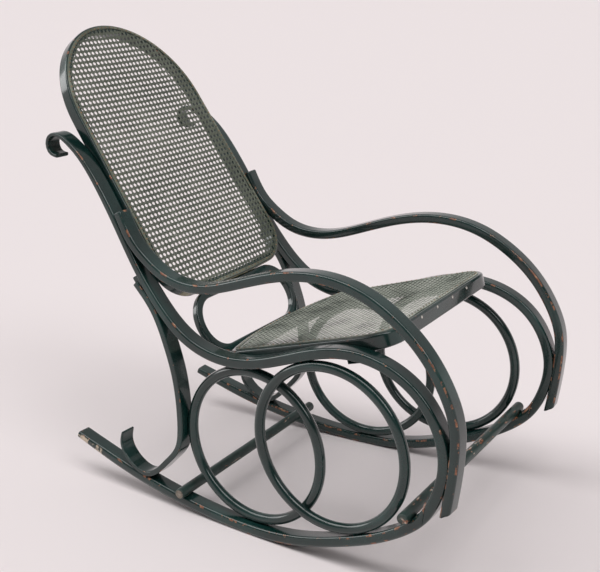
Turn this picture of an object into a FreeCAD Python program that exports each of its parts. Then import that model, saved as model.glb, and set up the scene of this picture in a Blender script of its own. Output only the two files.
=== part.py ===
"""Bentwood rocking chair with a caned seat and back. All sizes are in millimetres.

X is the width, a sitter looks towards -Y, and +Z is up. The origin is on the floor, under the middle
of the chair. A side frame is a set of bent straps in one upright plane. It is drawn in Y and Z, with
its own middle plane at X = 0, and is then turned and moved to its place at the chair's right (-X).
The left one is its mirror image.
"""
import FreeCAD, Part
import math
import os
from FreeCAD import Placement, Rotation, Vector

# Side frames: their place, and the strap they are bent from.
frame_half_width = 270.0     # middle of the chair to the outer face, at the rear ring's middle
frame_toe_in = 3.0           # degrees, the side frames close towards the back
strap_width = 36.0           # across the chair
strap_ease = 3.2             # bevelled long edges
samples_per_station = 1.3

# Runner: the part of the side strap that rocks on the floor. It is lowest under the chair's balance
# point, so that the chair stands as drawn.
runner_low_y = 11.0
runner_rear_radius = 1380.0
runner_front_radius = 520.0
runner_thickness = 22.0
runner_rear_y = 500.0
runner_taper = 6.0           # the rear end is thinner by this
runner_front_y = -120.0      # where the round runner passes into the front loop
runner_rear_stations = 5

# Scarf between the runner and the front loop, on the strap's outer and inner side.
scarf_outer = (-384.0, 138.0)
scarf_inner = (-392.0, 212.0)

# Side strap above the runner: Y, Z and thickness, from the front loop to the scroll.
loop_stations = [
    (-200, 54, 22), (-270, 83, 22), (-336, 121, 22), (-387, 169, 22), (-413, 226, 22),
    (-421, 283, 22), (-407, 341, 21), (-366, 399, 20), (-298, 438, 20), (-222, 448, 21),
    (-140, 431, 22), (-62, 401, 22), (20, 376, 22), (102, 373, 22), (178, 399, 21),
    (249, 463, 19), (303, 537, 17), (350, 616, 16), (400, 693, 14), (441, 742, 12), (479, 771, 10),
]
scroll_center = (510.0, 759.0)
scroll_radius = 23.0
scroll_start = 105.0         # degrees above the rearward level
scroll_end = -100.0
scroll_thickness = 8.5

# Arm. Its upper end lies on the post, and its lower end on the front loop.
arm_thickness = 20.0
arm_post_marks = [(361.0, 628.0), (320.0, 563.0)]
arm_stations = [
    (270, 545), (225, 519), (175, 508), (115, 512), (45, 533), (-35, 561), (-110, 578),
    (-178, 580), (-245, 566), (-310, 533), (-368, 485), (-412, 425), (-437, 365),
]
arm_loop_marks = [(-421.0, 290.0)]
arm_end = (-427.0, 172.0)
arm_end_cut = [(-410.0, 172.0), (-450.0, 195.0)]

# Rear brace: Y, Z and thickness, from behind the post to the tip of its curl.
brace_thickness = 14.0
brace_gap = 5.0              # between the brace's upper end and the post
brace_post_marks = [(281.0, 507.0), (243.0, 455.0)]
brace_upper = [(223, 378), (202, 312)]
brace_lower = [(198, 148, 13), (234, 101, 12)]
curl_y = 300.0               # where the curl lies on the runner
curl_tip = [(347, 82, 8), (362, 112, 6.5), (357, 140, 5)]
curl_thickness = 10.5
spacer_length = 22.0

# Rings in the side frames.
ring_section_radius = 11.0
ring_offset = 7.0            # the front ring stands out by this, and the rear ring in
rear_ring_y = 13.0
front_ring_y = -176.4
loop_middle_z = 230.0        # a height between the runner and the rail

# Stretchers.
stretcher_radius = 11.5
stretcher_overhang = 11.0    # past the outer face of each runner
stretcher_seat = 0.8
stretcher_round = 3.0
rear_stretcher_at = (190.0, 42.0)        # Y and Z beside the runner
front_stretcher_at = (-349.0, 157.0)

# Seat. Its lengths run along its rake, from Y = 0.
seat_height = 403.0
seat_rake = 17.2             # degrees, the front is higher
seat_front = 296.0
seat_side_back = 84.0
seat_back = 131.0
seat_front_corner = 62.0
seat_back_corner = 30.0
rim_width = 36.0
rim_height = 30.0
rim_ease = 4.0
rim_border = 9.0             # bare wood outside the cane's binding

# Tacks in the front face of the seat's rim.
tack_places = [-107.0, -36.0, 36.0, 107.0]
tack_radius = 3.2
tack_height = 1.2
tack_below_top = 8.0

# Cane, and the binding strip over its edge.
cane_thickness = 2.0
binding_width = 6.0
binding_height = 3.0

# Blocks in the seat's front corners.
block_length = 40.0
block_width = 20.0
block_height = 18.0
block_setback = 60.0         # behind the rim's front edge

# Back panel.
back_foot = (217.5, 455.4)   # front of its lower edge, in Y and Z
back_recline = 34.4          # degrees from upright
back_length = 644.0
back_foot_corner = 86.0
back_foot_bow = 9.0
back_rim_width = 18.0
back_rim_depth = 26.0
back_rim_ease = 3.0
back_border = 4.0            # bare wood outside the binding

# Rear hoop, behind the seat and under the foot of the back.
hoop_half_width = 170.0
hoop_corner = 62.0           # radius of its corners
hoop_section = 18.0
hoop_depth = 16.0
hoop_ease = 2.5
hoop_low_at = (158.0, 334.0)             # Y and Z of its lower run
hoop_bite = 1.0              # how deep its upper run is housed in the back
hoop_behind_back = 14.0      # its upper run's middle, behind the back's front face
hoop_block_width = 60.0      # block between the seat's rear rim and the hoop
hoop_block_height = 14.0

X, Y, Z = Vector(1, 0, 0), Vector(0, 1, 0), Vector(0, 0, 1)


def spline(points, parameters=None):
    curve = Part.BSplineCurve()
    if parameters:
        curve.interpolate(Points=points, Parameters=parameters)
    else:
        curve.interpolate(points)
    return curve


class Strap:
    """A bent strap of varying thickness, drawn in Y and Z and centred on X = 0."""

    def __init__(self, stations, width=strap_width):
        points = [Vector(0, y, z) for y, z, _ in stations]
        marks = [0.0]
        for before, after in zip(points, points[1:]):
            marks.append(marks[-1] + before.distanceToPoint(after))
        self.marks = marks
        self.width = width
        self.path = spline(points, marks)
        self.gauge = spline([Vector(mark, t, 0) for mark, (_, _, t) in zip(marks, stations)], marks)

    def thickness(self, mark):
        return self.gauge.value(mark).y

    def nearest(self, y, z):
        return self.path.parameter(Vector(0, y, z))

    def side(self, mark, distance):
        """Point beside the middle line, positive to the left of its run as seen from +X."""
        tangent = self.path.tangent(mark)[0]
        normal = Vector(0, -tangent.z, tangent.y)
        return self.path.value(mark) + normal * distance

    def face_side(self, mark, sign, extra=0.0):
        return self.side(mark, sign * (self.thickness(mark) / 2 + extra))

    def edge(self, sign, inset=0.0):
        """Long edge of the strap's side face, drawn in by an inset on all sides."""
        first, last = self.marks[0] + inset, self.marks[-1] - inset
        count = round(samples_per_station * len(self.marks))
        marks = [first + (last - first) * i / count for i in range(count + 1)]
        return spline([self.face_side(mark, sign, -inset) for mark in marks])

    def outline(self, x, inset):
        left, right = self.edge(1, inset), self.edge(-1, inset)
        right.reverse()
        wire = Part.Wire([
            left.toShape(),
            Part.makeLine(left.EndPoint, right.StartPoint),
            right.toShape(),
            Part.makeLine(right.EndPoint, left.StartPoint),
        ])
        wire.translate(X * x)
        return wire

    def solid(self):
        """The strap, with flat bevels along the edges of its outer face."""
        half = self.width / 2
        layers = [(-half, strap_ease), (strap_ease - half, 0), (half, 0)]
        return Part.makeLoft([self.outline(x, inset) for x, inset in layers], True, True)

    def plain_solid(self):
        """The strap with sharp edges."""
        half = self.width / 2
        return Part.makeLoft([self.outline(-half, 0), self.outline(half, 0)], True, True)


def runner_station(y):
    """Middle of the strap on the round runner."""
    radius = runner_rear_radius if y > runner_low_y else runner_front_radius
    angle = math.asin((y - runner_low_y) / radius)
    thickness = runner_thickness - (runner_taper if y == runner_rear_y else 0)
    middle = radius - thickness / 2
    return (runner_low_y + middle * math.sin(angle), radius - middle * math.cos(angle), thickness)


def scroll_station(angle):
    turn = math.radians(angle)
    y = scroll_center[0] + scroll_radius * math.cos(turn)
    z = scroll_center[1] + scroll_radius * math.sin(turn)
    return (y, z, scroll_thickness)


def make_side_strap():
    """The whole side strap, from the runner's rear end to the scroll's tip."""
    step = (runner_low_y - runner_rear_y) / (runner_rear_stations - 1)
    runner = [runner_station(runner_rear_y + i * step) for i in range(runner_rear_stations)]
    runner += [runner_station((runner_low_y + runner_front_y) / 2), runner_station(runner_front_y)]
    turn = (scroll_end - scroll_start) / 4
    scroll = [scroll_station(scroll_start + i * turn) for i in range(5)]
    return Strap(runner + loop_stations + scroll)


def prism(points, half_width=strap_width):
    """Solid with a polygon in Y and Z as its side face."""
    corners = [Vector(-half_width, y, z) for y, z in points]
    return Part.Face(Part.makePolygon(corners + corners[:1])).extrude(X * (2 * half_width))


def split_runner(strap):
    """Cut the side strap at the scarf, into the rail and the rocker."""
    rear = runner_rear_y + 2 * runner_thickness
    reach = (scarf_outer[0] - 3 * runner_thickness, scarf_outer[1] - 2 * runner_thickness)
    lower = prism([scarf_inner, (rear, scarf_inner[1]), (rear, -runner_thickness),
                   (scarf_outer[0], -runner_thickness), reach, scarf_outer])
    solid = strap.solid()
    return solid.cut(lower), solid.common(lower)


def stations_beside(strap, marks, sign, gap, thickness):
    """Stations of a strap that lies on the side of another one."""
    places = []
    for y, z in marks:
        point = strap.face_side(strap.nearest(y, z), sign, gap + thickness / 2)
        places.append((point.y, point.z, thickness))
    return places


def make_arm(rail):
    top = stations_beside(rail, arm_post_marks, 1, 0, arm_thickness)
    foot = stations_beside(rail, arm_loop_marks, 1, 0, arm_thickness)
    free = [(y, z, arm_thickness) for y, z in arm_stations]
    return Strap(top + free + foot + [arm_end + (arm_thickness,)])


def cut_arm_end(solid):
    """The lower end is cut level and slopes up to the front."""
    (inner_y, inner_z), (outer_y, outer_z) = arm_end_cut
    low = inner_z - 3 * arm_thickness
    reach = 2 * arm_thickness
    return solid.cut(prism([(inner_y + reach, inner_z), (inner_y, inner_z), (outer_y, outer_z),
                            (outer_y - reach, outer_z), (outer_y - reach, low), (inner_y + reach, low)]))


class Ring:
    """Round-section ring that touches the rail above and the runner below."""

    def __init__(self, strap, y, offset):
        inner = strap.edge(-1).toShape()
        turn_y = min(station[0] for station in loop_stations)
        spread = 6 * strap_width
        below = inner.common(prism([(turn_y - spread, -spread), (runner_rear_y, -spread),
                                    (runner_rear_y, loop_middle_z), (turn_y - spread, loop_middle_z)]))
        above = inner.cut(below)
        low, high = loop_middle_z - spread / 2, loop_middle_z + spread / 2
        for _ in range(40):
            z = (low + high) / 2
            center = Part.Vertex(0, y, z)
            to_runner, to_rail = center.distToShape(below)[0], center.distToShape(above)[0]
            if to_runner < to_rail:
                low = z
            else:
                high = z
        self.y, self.z, self.offset = y, z, offset
        self.outer_radius = to_runner

    def solid(self):
        """The ring, turned from a six-sided section with a ridge on its outside."""
        reach = ring_section_radius
        middle_z = self.z + self.outer_radius - reach
        corners = []
        for i in range(7):
            turn = math.radians(30 + 60 * i)
            corners.append(Vector(self.offset + reach * math.cos(turn), self.y, middle_z + reach * math.sin(turn)))
        section = Part.Face(Part.makePolygon(corners))
        return section.revolve(Vector(self.offset, self.y, self.z), X, 360)


def make_brace(rail, ring):
    """Rear brace: it leaves the post, lies against the rear ring and curls up on the runner."""
    (top, touch) = brace_post_marks
    upper = stations_beside(rail, [top], -1, brace_gap, brace_thickness)
    upper += stations_beside(rail, [touch], -1, 0, brace_thickness)
    upper += [(y, z, brace_thickness) for y, z in brace_upper]
    beside_ring = ring.y + ring.outer_radius + brace_thickness / 2
    middle = [(beside_ring, ring.z + 35, brace_thickness), (beside_ring, ring.z - 10, brace_thickness)]
    curl = stations_beside(rail, [(curl_y, 0.0)], -1, 0, curl_thickness)
    return Strap(upper + middle + brace_lower + curl + curl_tip)


def make_spacer(rail, brace):
    """Block that fills the gap between the brace's upper end and the post."""
    mark = rail.nearest(*brace_post_marks[0])
    half = spacer_length / 2
    near = [rail.face_side(mark + step, -1) for step in (-half, half)]
    far = [rail.face_side(mark + step, -1, brace_gap + brace_thickness / 2) for step in (half, -half)]
    block = prism([(p.y, p.z) for p in near + far], strap_width / 2 - strap_ease)
    return block


def make_stretcher(rail, y, z):
    """Round rod that lies in a shallow seat on the inner side of both side straps."""
    center = rail.face_side(rail.nearest(y, z), -1, stretcher_radius - stretcher_seat)
    half_length = outer_face(center.y) + stretcher_overhang
    rod = Part.makeCylinder(stretcher_radius, 2 * half_length, center - X * half_length, X)
    ends = [edge for edge in rod.Edges if edge.Closed]
    return rod.makeChamfer(stretcher_round, ends)


def outer_face(y):
    """Half of the chair's width at the side frames' outer faces."""
    return frame_half_width - y * math.tan(math.radians(frame_toe_in))


def inner_face(y):
    return outer_face(y) - strap_width / math.cos(math.radians(frame_toe_in))


def to_right(solid):
    """Move a piece of a side frame to its place at the chair's right."""
    placed = solid.copy()
    placed.rotate(Vector(0, 0, 0), Z, -frame_toe_in)
    middle = frame_half_width - strap_width / 2 / math.cos(math.radians(frame_toe_in))
    placed.translate(X * -middle)
    return placed


def to_left(solid):
    return to_right(solid).mirror(Vector(0, 0, 0), X)


def between_frames():
    """The space between the two side frames."""
    front, back = -600.0, 800.0
    corners = [Vector(-inner_face(front), front, -10), Vector(inner_face(front), front, -10),
               Vector(inner_face(back), back, -10), Vector(-inner_face(back), back, -10)]
    return Part.Face(Part.makePolygon(corners + corners[:1])).extrude(Z * 1500)


def rounded(wire, corners):
    """Flat outline with round corners, given as pairs of a place and a radius."""
    block = Part.Face(wire).extrude(Z)
    for place, radius in corners:
        upright = [e for e in block.Edges
                   if abs(e.tangentAt(e.FirstParameter).z) > 0.9 and e.distToShape(Part.Vertex(place))[0] < 0.5]
        block = block.makeFillet(radius, upright)
    floor = min(block.Faces, key=lambda face: face.CenterOfMass.z)
    return floor.OuterWire


def plate(outer, inner, low, high):
    """Flat ring, or a sheet if it has no inner outline."""
    face = Part.Face(outer)
    if inner:
        face = face.cut(Part.Face(inner))
    solid = face.extrude(Z * (high - low))
    solid.translate(Z * low)
    return solid


def inset(wire, distance):
    return wire.makeOffset2D(-distance)


def seat_half_width(s):
    """The rim fits between the rails at the upper end of its side wall."""
    rake = math.radians(seat_rake)
    return inner_face(s * math.cos(rake) - rim_ease * math.sin(rake))


def seat_outline():
    front_half, side_half = seat_half_width(-seat_front), seat_half_width(seat_side_back)
    a, b = Vector(-front_half, -seat_front, 0), Vector(front_half, -seat_front, 0)
    c, d = Vector(side_half, seat_side_back, 0), Vector(-side_half, seat_side_back, 0)
    rear = Part.Arc(c, Vector(0, seat_back, 0), d).toShape()
    wire = Part.Wire([Part.makeLine(d, a), Part.makeLine(a, b), Part.makeLine(b, c), rear])
    return rounded(wire, [(a, seat_front_corner), (b, seat_front_corner), (c, seat_back_corner), (d, seat_back_corner)])


def on_seat(solid):
    placed = solid.copy()
    placed.Placement = Placement(Vector(0, 0, seat_height), Rotation(X, -seat_rake)) * placed.Placement
    return placed


def eased(solid, ease, heights):
    """Bevel the outer edges of a flat plate at the given heights."""
    edges = [edge for edge in solid.Edges
             if any(abs(edge.CenterOfMass.z - height) < 0.01 for height in heights)]
    return solid.makeChamfer(ease, edges)


def make_seat_frame():
    outline = seat_outline()
    rim = eased(plate(outline, None, -rim_height, 0), rim_ease, [-rim_height, 0])
    opening = plate(inset(outline, rim_width), None, -2 * rim_height, rim_height)
    return on_seat(rim.cut(opening))


def make_cane(outline, border):
    return plate(inset(outline, border + binding_width), None, 0, cane_thickness)


def make_binding(outline, border):
    outer, inner = inset(outline, border), inset(outline, border + binding_width)
    strip = plate(outer, None, 0, binding_height).cut(plate(inner, None, -1, binding_height + 1))
    return strip


def make_rim_tacks():
    """Low eight-sided heads on the flat front of the rim."""
    heads = []
    for x in tack_places:
        corners = []
        for i in range(9):
            turn = math.radians(22.5 + 45 * i)
            corners.append(Vector(x + tack_radius * math.cos(turn), -seat_front,
                                  -tack_below_top + tack_radius * math.sin(turn)))
        heads.append(Part.Face(Part.makePolygon(corners)).extrude(Y * -tack_height))
    return on_seat(Part.makeCompound(heads))


def make_block(side):
    """Corner block below the front of the rim, against the side frame."""
    y = -(seat_front - block_setback)
    half = inner_face(y)
    block = Part.makeBox(2 * block_width, block_length, block_height,
                         Vector(-block_width, y, -rim_height - block_height))
    block.translate(X * (side * half))
    return on_seat(block).common(between_frames())


def back_half_width(s):
    """The rim fits between the posts at the rear end of its side wall."""
    recline = math.radians(back_recline)
    depth = back_rim_depth - back_rim_ease
    return inner_face(back_foot[0] + s * math.sin(recline) + depth * math.cos(recline))


def back_outline():
    """The arch at the top runs on smoothly from the leaning sides."""
    foot_half = back_half_width(0)
    lean = (foot_half - back_half_width(back_length)) / back_length
    slant = math.hypot(1, lean)
    radius = (foot_half - lean * back_length) / (slant - lean)
    spring_half = radius / slant
    spring = back_length - radius + lean * spring_half
    corner_half = foot_half - lean * back_foot_bow
    a, b = Vector(-corner_half, back_foot_bow, 0), Vector(corner_half, back_foot_bow, 0)
    c, d = Vector(spring_half, spring, 0), Vector(-spring_half, spring, 0)
    foot = Part.Arc(a, Vector(0, 0, 0), b).toShape()
    arch = Part.Arc(c, Vector(0, back_length, 0), d).toShape()
    wire = Part.Wire([foot, Part.makeLine(b, c), arch, Part.makeLine(d, a)])
    return rounded(wire, [(a, back_foot_corner), (b, back_foot_corner)])


def on_back(solid):
    placed = solid.copy()
    turn = Rotation(X, 90 - back_recline)
    placed.Placement = Placement(Vector(0, back_foot[0], back_foot[1]), turn) * placed.Placement
    return placed


def make_back_frame():
    outline = back_outline()
    rim = eased(plate(outline, None, -back_rim_depth, 0), back_rim_ease, [-back_rim_depth, 0])
    opening = plate(inset(outline, back_rim_width), None, -2 * back_rim_depth, back_rim_depth)
    return on_back(rim.cut(opening))


def make_rear_hoop():
    """Oblong hoop, with its upper run under the foot of the back."""
    low = Vector(0, *hoop_low_at)
    high = on_back(Part.Vertex(0, -hoop_section / 2 + hoop_bite, -hoop_behind_back)).Point
    rise = high - low

    def loop(grow):
        half, top, bottom = hoop_half_width + grow, rise.Length + grow, -grow
        places = [Vector(-half, bottom, 0), Vector(half, bottom, 0), Vector(half, top, 0), Vector(-half, top, 0)]
        return rounded(Part.makePolygon(places + places[:1]), [(place, hoop_corner + grow) for place in places])

    outer = plate(loop(hoop_section / 2), None, -hoop_depth / 2, hoop_depth / 2)
    band = eased(outer, hoop_ease, [-hoop_depth / 2, hoop_depth / 2])
    band = band.cut(plate(loop(-hoop_section / 2), None, -hoop_depth, hoop_depth))
    band.Placement = Placement(low, Rotation(X, math.degrees(math.atan2(rise.z, rise.y)))) * band.Placement
    return band


def make_hoop_block():
    """Block that joins the middle of the hoop's lower run to the seat's rear rim."""
    rim = on_seat(Part.Vertex(0, seat_back - rim_width / 2, -rim_height / 2)).Point
    low = Vector(0, *hoop_low_at)
    across = X.cross(low - rim).normalize() * (hoop_block_height / 2)
    corners = [rim + across, rim - across, low - across, low + across]
    return prism([(corner.y, corner.z) for corner in corners], hoop_block_width / 2)


def build():
    strap = make_side_strap()
    rail, rocker = split_runner(strap)
    rear_ring = Ring(strap, rear_ring_y, ring_offset)
    rear_ring_solid = rear_ring.solid()
    front_ring_solid = Ring(strap, front_ring_y, -ring_offset).solid()
    arm = make_arm(strap)
    brace = make_brace(strap, rear_ring)
    brace_solid = brace.plain_solid()
    side_pieces = {
        "side_rail": rail,
        "rocker": rocker,
        "arm": cut_arm_end(arm.solid()).cut(rail),
        "rear_brace": brace_solid.cut(rail).cut(rocker).cut(rear_ring_solid),
        "brace_spacer": make_spacer(strap, brace).cut(brace_solid).cut(rail),
        "rear_ring": rear_ring_solid.cut(front_ring_solid),
        "front_ring": front_ring_solid,
    }
    pieces = {}
    for name, solid in side_pieces.items():
        pieces[name + "_right"] = to_right(solid)
        pieces[name + "_left"] = to_left(solid)
    for name, place in (("rear_stretcher", rear_stretcher_at), ("front_stretcher", front_stretcher_at)):
        rod = make_stretcher(strap, *place)
        pieces[name] = rod
        for side in ("right", "left"):
            pieces["rocker_" + side] = pieces["rocker_" + side].cut(rod)
    pieces["seat_frame"] = make_seat_frame()
    pieces["rim_tacks"] = make_rim_tacks()
    pieces["seat_cane"] = on_seat(make_cane(seat_outline(), rim_border))
    pieces["seat_binding"] = on_seat(make_binding(seat_outline(), rim_border))
    pieces["seat_block_right"] = make_block(-1)
    pieces["seat_block_left"] = make_block(1)
    pieces["back_frame"] = make_back_frame()
    pieces["back_cane"] = on_back(make_cane(back_outline(), back_border))
    pieces["back_binding"] = on_back(make_binding(back_outline(), back_border))
    pieces["rear_hoop"] = make_rear_hoop().cut(pieces["back_frame"])
    pieces["hoop_block"] = make_hoop_block().cut(pieces["seat_frame"]).cut(pieces["rear_hoop"])
    return pieces


def to_origin(pieces):
    """Move the chair so that its lowest point is at Z = 0 and its length is centred on Y = 0."""
    box = Part.makeCompound(list(pieces.values())).optimalBoundingBox()
    for piece in pieces.values():
        piece.translate(Vector(0, -(box.YMin + box.YMax) / 2, -box.ZMin))


def main():
    pieces = build()
    to_origin(pieces)
    os.makedirs("parts", exist_ok=True)
    for name, shape in pieces.items():
        shape.exportStep("parts/" + name + ".step")


main()
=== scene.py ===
# %% [markdown]
# A bentwood rocking chair, painted dark green long ago and worn since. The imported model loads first. It
# gives the rings, the rods and the flat outlines their sizes, and the bent straps follow the stations
# that it was built from. Straps are drawn in millimetres, and everything in the scene is in metres, with
# Z up, X across the chair and a sitter who looks towards -Y. The origin is on the floor under the middle
# of the chair.

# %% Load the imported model
import math
import bmesh
import bpy
import numpy as np
from mathutils import Matrix, Vector


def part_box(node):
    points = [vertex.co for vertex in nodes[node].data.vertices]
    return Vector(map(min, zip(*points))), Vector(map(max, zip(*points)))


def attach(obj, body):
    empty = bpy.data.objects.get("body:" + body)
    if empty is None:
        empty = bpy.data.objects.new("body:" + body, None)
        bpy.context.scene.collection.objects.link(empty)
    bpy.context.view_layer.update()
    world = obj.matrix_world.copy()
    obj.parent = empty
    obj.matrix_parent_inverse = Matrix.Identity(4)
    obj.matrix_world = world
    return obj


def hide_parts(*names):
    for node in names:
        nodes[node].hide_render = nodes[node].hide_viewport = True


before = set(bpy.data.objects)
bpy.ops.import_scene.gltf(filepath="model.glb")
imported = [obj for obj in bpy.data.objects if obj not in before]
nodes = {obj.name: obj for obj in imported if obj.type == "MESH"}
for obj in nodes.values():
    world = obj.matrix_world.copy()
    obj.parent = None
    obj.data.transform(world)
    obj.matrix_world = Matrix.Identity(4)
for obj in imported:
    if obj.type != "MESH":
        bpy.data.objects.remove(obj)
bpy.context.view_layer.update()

mm = 0.001
print("nodes:", len(nodes))

# %% [markdown]
# The two side frames are drawn flat, in Y and Z, and then turned by three degrees, so that the chair is
# a little narrower behind. The seat, the back and the hoop each lie in a leaning plane of their own.
# One matrix for each of these planes lets a piece be drawn flat and then put in its place.

# %% Planes of the chair
origin_y = 74.24 * mm
toe_in = math.radians(3.0)
strap_mm = 36.0
frame_half_width = 270 * mm
seat_height = 403 * mm
seat_rake = math.radians(17.2)
back_recline = math.radians(34.4)

middle = frame_half_width - strap_mm * mm / 2 / math.cos(toe_in)
side_plane = Matrix.Translation((-middle, -origin_y, 0)) @ Matrix.Rotation(-toe_in, 4, "Z")
seat_plane = Matrix.Translation((0, -origin_y, seat_height)) @ Matrix.Rotation(-seat_rake, 4, "X")
back_foot = Vector((0, 217.5 * mm - origin_y, 455.4 * mm))
back_plane = Matrix.Translation(back_foot) @ Matrix.Rotation(math.radians(90) - back_recline, 4, "X")
hoop_low = Vector((0, 158 * mm - origin_y, 334 * mm))
hoop_high = back_plane @ Vector((0, -8 * mm, -14 * mm))
hoop_rise = hoop_high - hoop_low
hoop_tilt = math.atan2(hoop_rise.z, hoop_rise.y)
hoop_plane = Matrix.Translation(hoop_low) @ Matrix.Rotation(hoop_tilt, 4, "X")
print("hoop rise in mm:", round(hoop_rise.length / mm, 1))

# %% [markdown]
# Every new piece goes through the same last steps: its flat drawing is moved to its place, its faces
# are shaded smooth or flat, it is hung under the empty of the body that it moves with, it gets its
# material, and the plain nodes of the imported model that it stands for are hidden.

# %% Finish a piece
def finish_piece(name, bm, place, material, replaced, smooth=True):
    """Turn a drawing into an object in its place. The share of eased vertices is printed."""
    bmesh.ops.transform(bm, matrix=place, verts=bm.verts)
    bmesh.ops.recalc_face_normals(bm, faces=bm.faces)
    mesh = bpy.data.meshes.new(name)
    bm.to_mesh(mesh)
    open_edges = sum(len(e.link_faces) != 2 for e in bm.edges)
    bm.free()
    piece = bpy.data.objects.new(name, mesh)
    bpy.context.scene.collection.objects.link(piece)
    mesh.polygons.foreach_set("use_smooth", [smooth] * len(mesh.polygons))
    mesh.materials.append(material)
    if smooth:
        piece.modifiers.new("even shading", "WEIGHTED_NORMAL").keep_sharp = True
    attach(piece, "root")
    if replaced:
        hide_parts(*replaced)
    layer = mesh.attributes.get("edge")
    eased = np.mean([v.value > 0.5 for v in layer.data]) if layer else 0.0
    print(name, len(mesh.polygons), "faces,", open_edges, "open edges, eased share", round(float(eased), 2))
    return piece


# %% [markdown]
# Paint comes first. The real chair has a bottle-green gloss coat, nearly black, under years of
# dust and polish. Along the edges it has rubbed through to red-brown wood, and here and there a chip
# shows an older cream coat. A painted image could show this too, but it would need a flat layout of every
# strap. Noise in object coordinates needs none, and no two edges match. Attributes of the mesh keep the
# wear where hands and floors rub: edge along rounded edges, scuff on the fronts of the arms, drag at the
# rear ends of the runners and bare at the foot of the back's rim.

# %% A new material, and noise to place its wear
def new_material(name):
    material = bpy.data.materials.new(name)
    material.use_nodes = True
    tree = material.node_tree
    shader = tree.nodes["Principled BSDF"]
    return material, tree, shader


def add_noise(tree, scale, detail, stretch=(1, 1, 1), roughness=0.5):
    coords = tree.nodes.new("ShaderNodeTexCoord")
    mapping = tree.nodes.new("ShaderNodeMapping")
    mapping.inputs["Scale"].default_value = stretch
    noise = tree.nodes.new("ShaderNodeTexNoise")
    noise.inputs["Scale"].default_value = scale
    noise.inputs["Detail"].default_value = detail
    noise.inputs["Roughness"].default_value = roughness
    tree.links.new(coords.outputs["Object"], mapping.inputs["Vector"])
    tree.links.new(mapping.outputs["Vector"], noise.inputs["Vector"])
    return noise.outputs["Fac"]


# %% Ramps, sums and mixes
def grey(value):
    return (value, value, value)


def add_ramp(tree, value, stops):
    ramp = tree.nodes.new("ShaderNodeValToRGB")
    elements = ramp.color_ramp.elements
    while len(elements) < len(stops):
        elements.new(0.5)
    for element, (position, color) in zip(elements, stops):
        element.position = position
        element.color = (*color, 1) if len(color) == 3 else color
    tree.links.new(value, ramp.inputs["Fac"])
    return ramp.outputs["Color"]


def add_fade(tree, value, low, high, first=0.0, last=1.0):
    """A grey ramp that goes from first, where the value is low, to last, where it is high."""
    return add_ramp(tree, value, [(low, grey(first)), (high, grey(last))])


def add_math(tree, operation, first, second, third=0.5):
    node = tree.nodes.new("ShaderNodeMath")
    node.operation = operation
    for socket, value in zip(node.inputs, (first, second, third)):
        if isinstance(value, (int, float)):
            socket.default_value = value
        else:
            tree.links.new(value, socket)
    return node.outputs["Value"]


def add_mix(tree, factor, first, second):
    node = tree.nodes.new("ShaderNodeMix")
    node.data_type = "RGBA"
    tree.links.new(factor, node.inputs["Factor"])
    for name, value in (("A", first), ("B", second)):
        socket = [s for s in node.inputs if s.name == name and s.type == "RGBA"][0]
        if isinstance(value, tuple):
            socket.default_value = (*value, 1)
        else:
            tree.links.new(value, socket)
    return [s for s in node.outputs if s.type == "RGBA"][0]


# %% Bump, and attributes of the mesh
def add_bump(tree, shader, height, strength, distance):
    bump = tree.nodes.new("ShaderNodeBump")
    bump.inputs["Strength"].default_value = strength
    bump.inputs["Distance"].default_value = distance
    tree.links.new(height, bump.inputs["Height"])
    tree.links.new(bump.outputs["Normal"], shader.inputs["Normal"])


def add_attribute(tree, name):
    node = tree.nodes.new("ShaderNodeAttribute")
    node.attribute_name = name
    return node.outputs["Fac"]


# %% Worn green paint
bottle_greens = [(0.3, (0.002, 0.014, 0.012)), (0.55, (0.004, 0.026, 0.023)), (0.75, (0.012, 0.050, 0.044))]
old_dust = (0.07, 0.095, 0.085)
wood_tones = [(0.3, (0.07, 0.024, 0.012)), (0.5, (0.26, 0.090, 0.040)), (0.7, (0.48, 0.27, 0.15))]
cream_coat = (0.60, 0.50, 0.38)
stripped_wood = (0.21, 0.19, 0.075)


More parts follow.
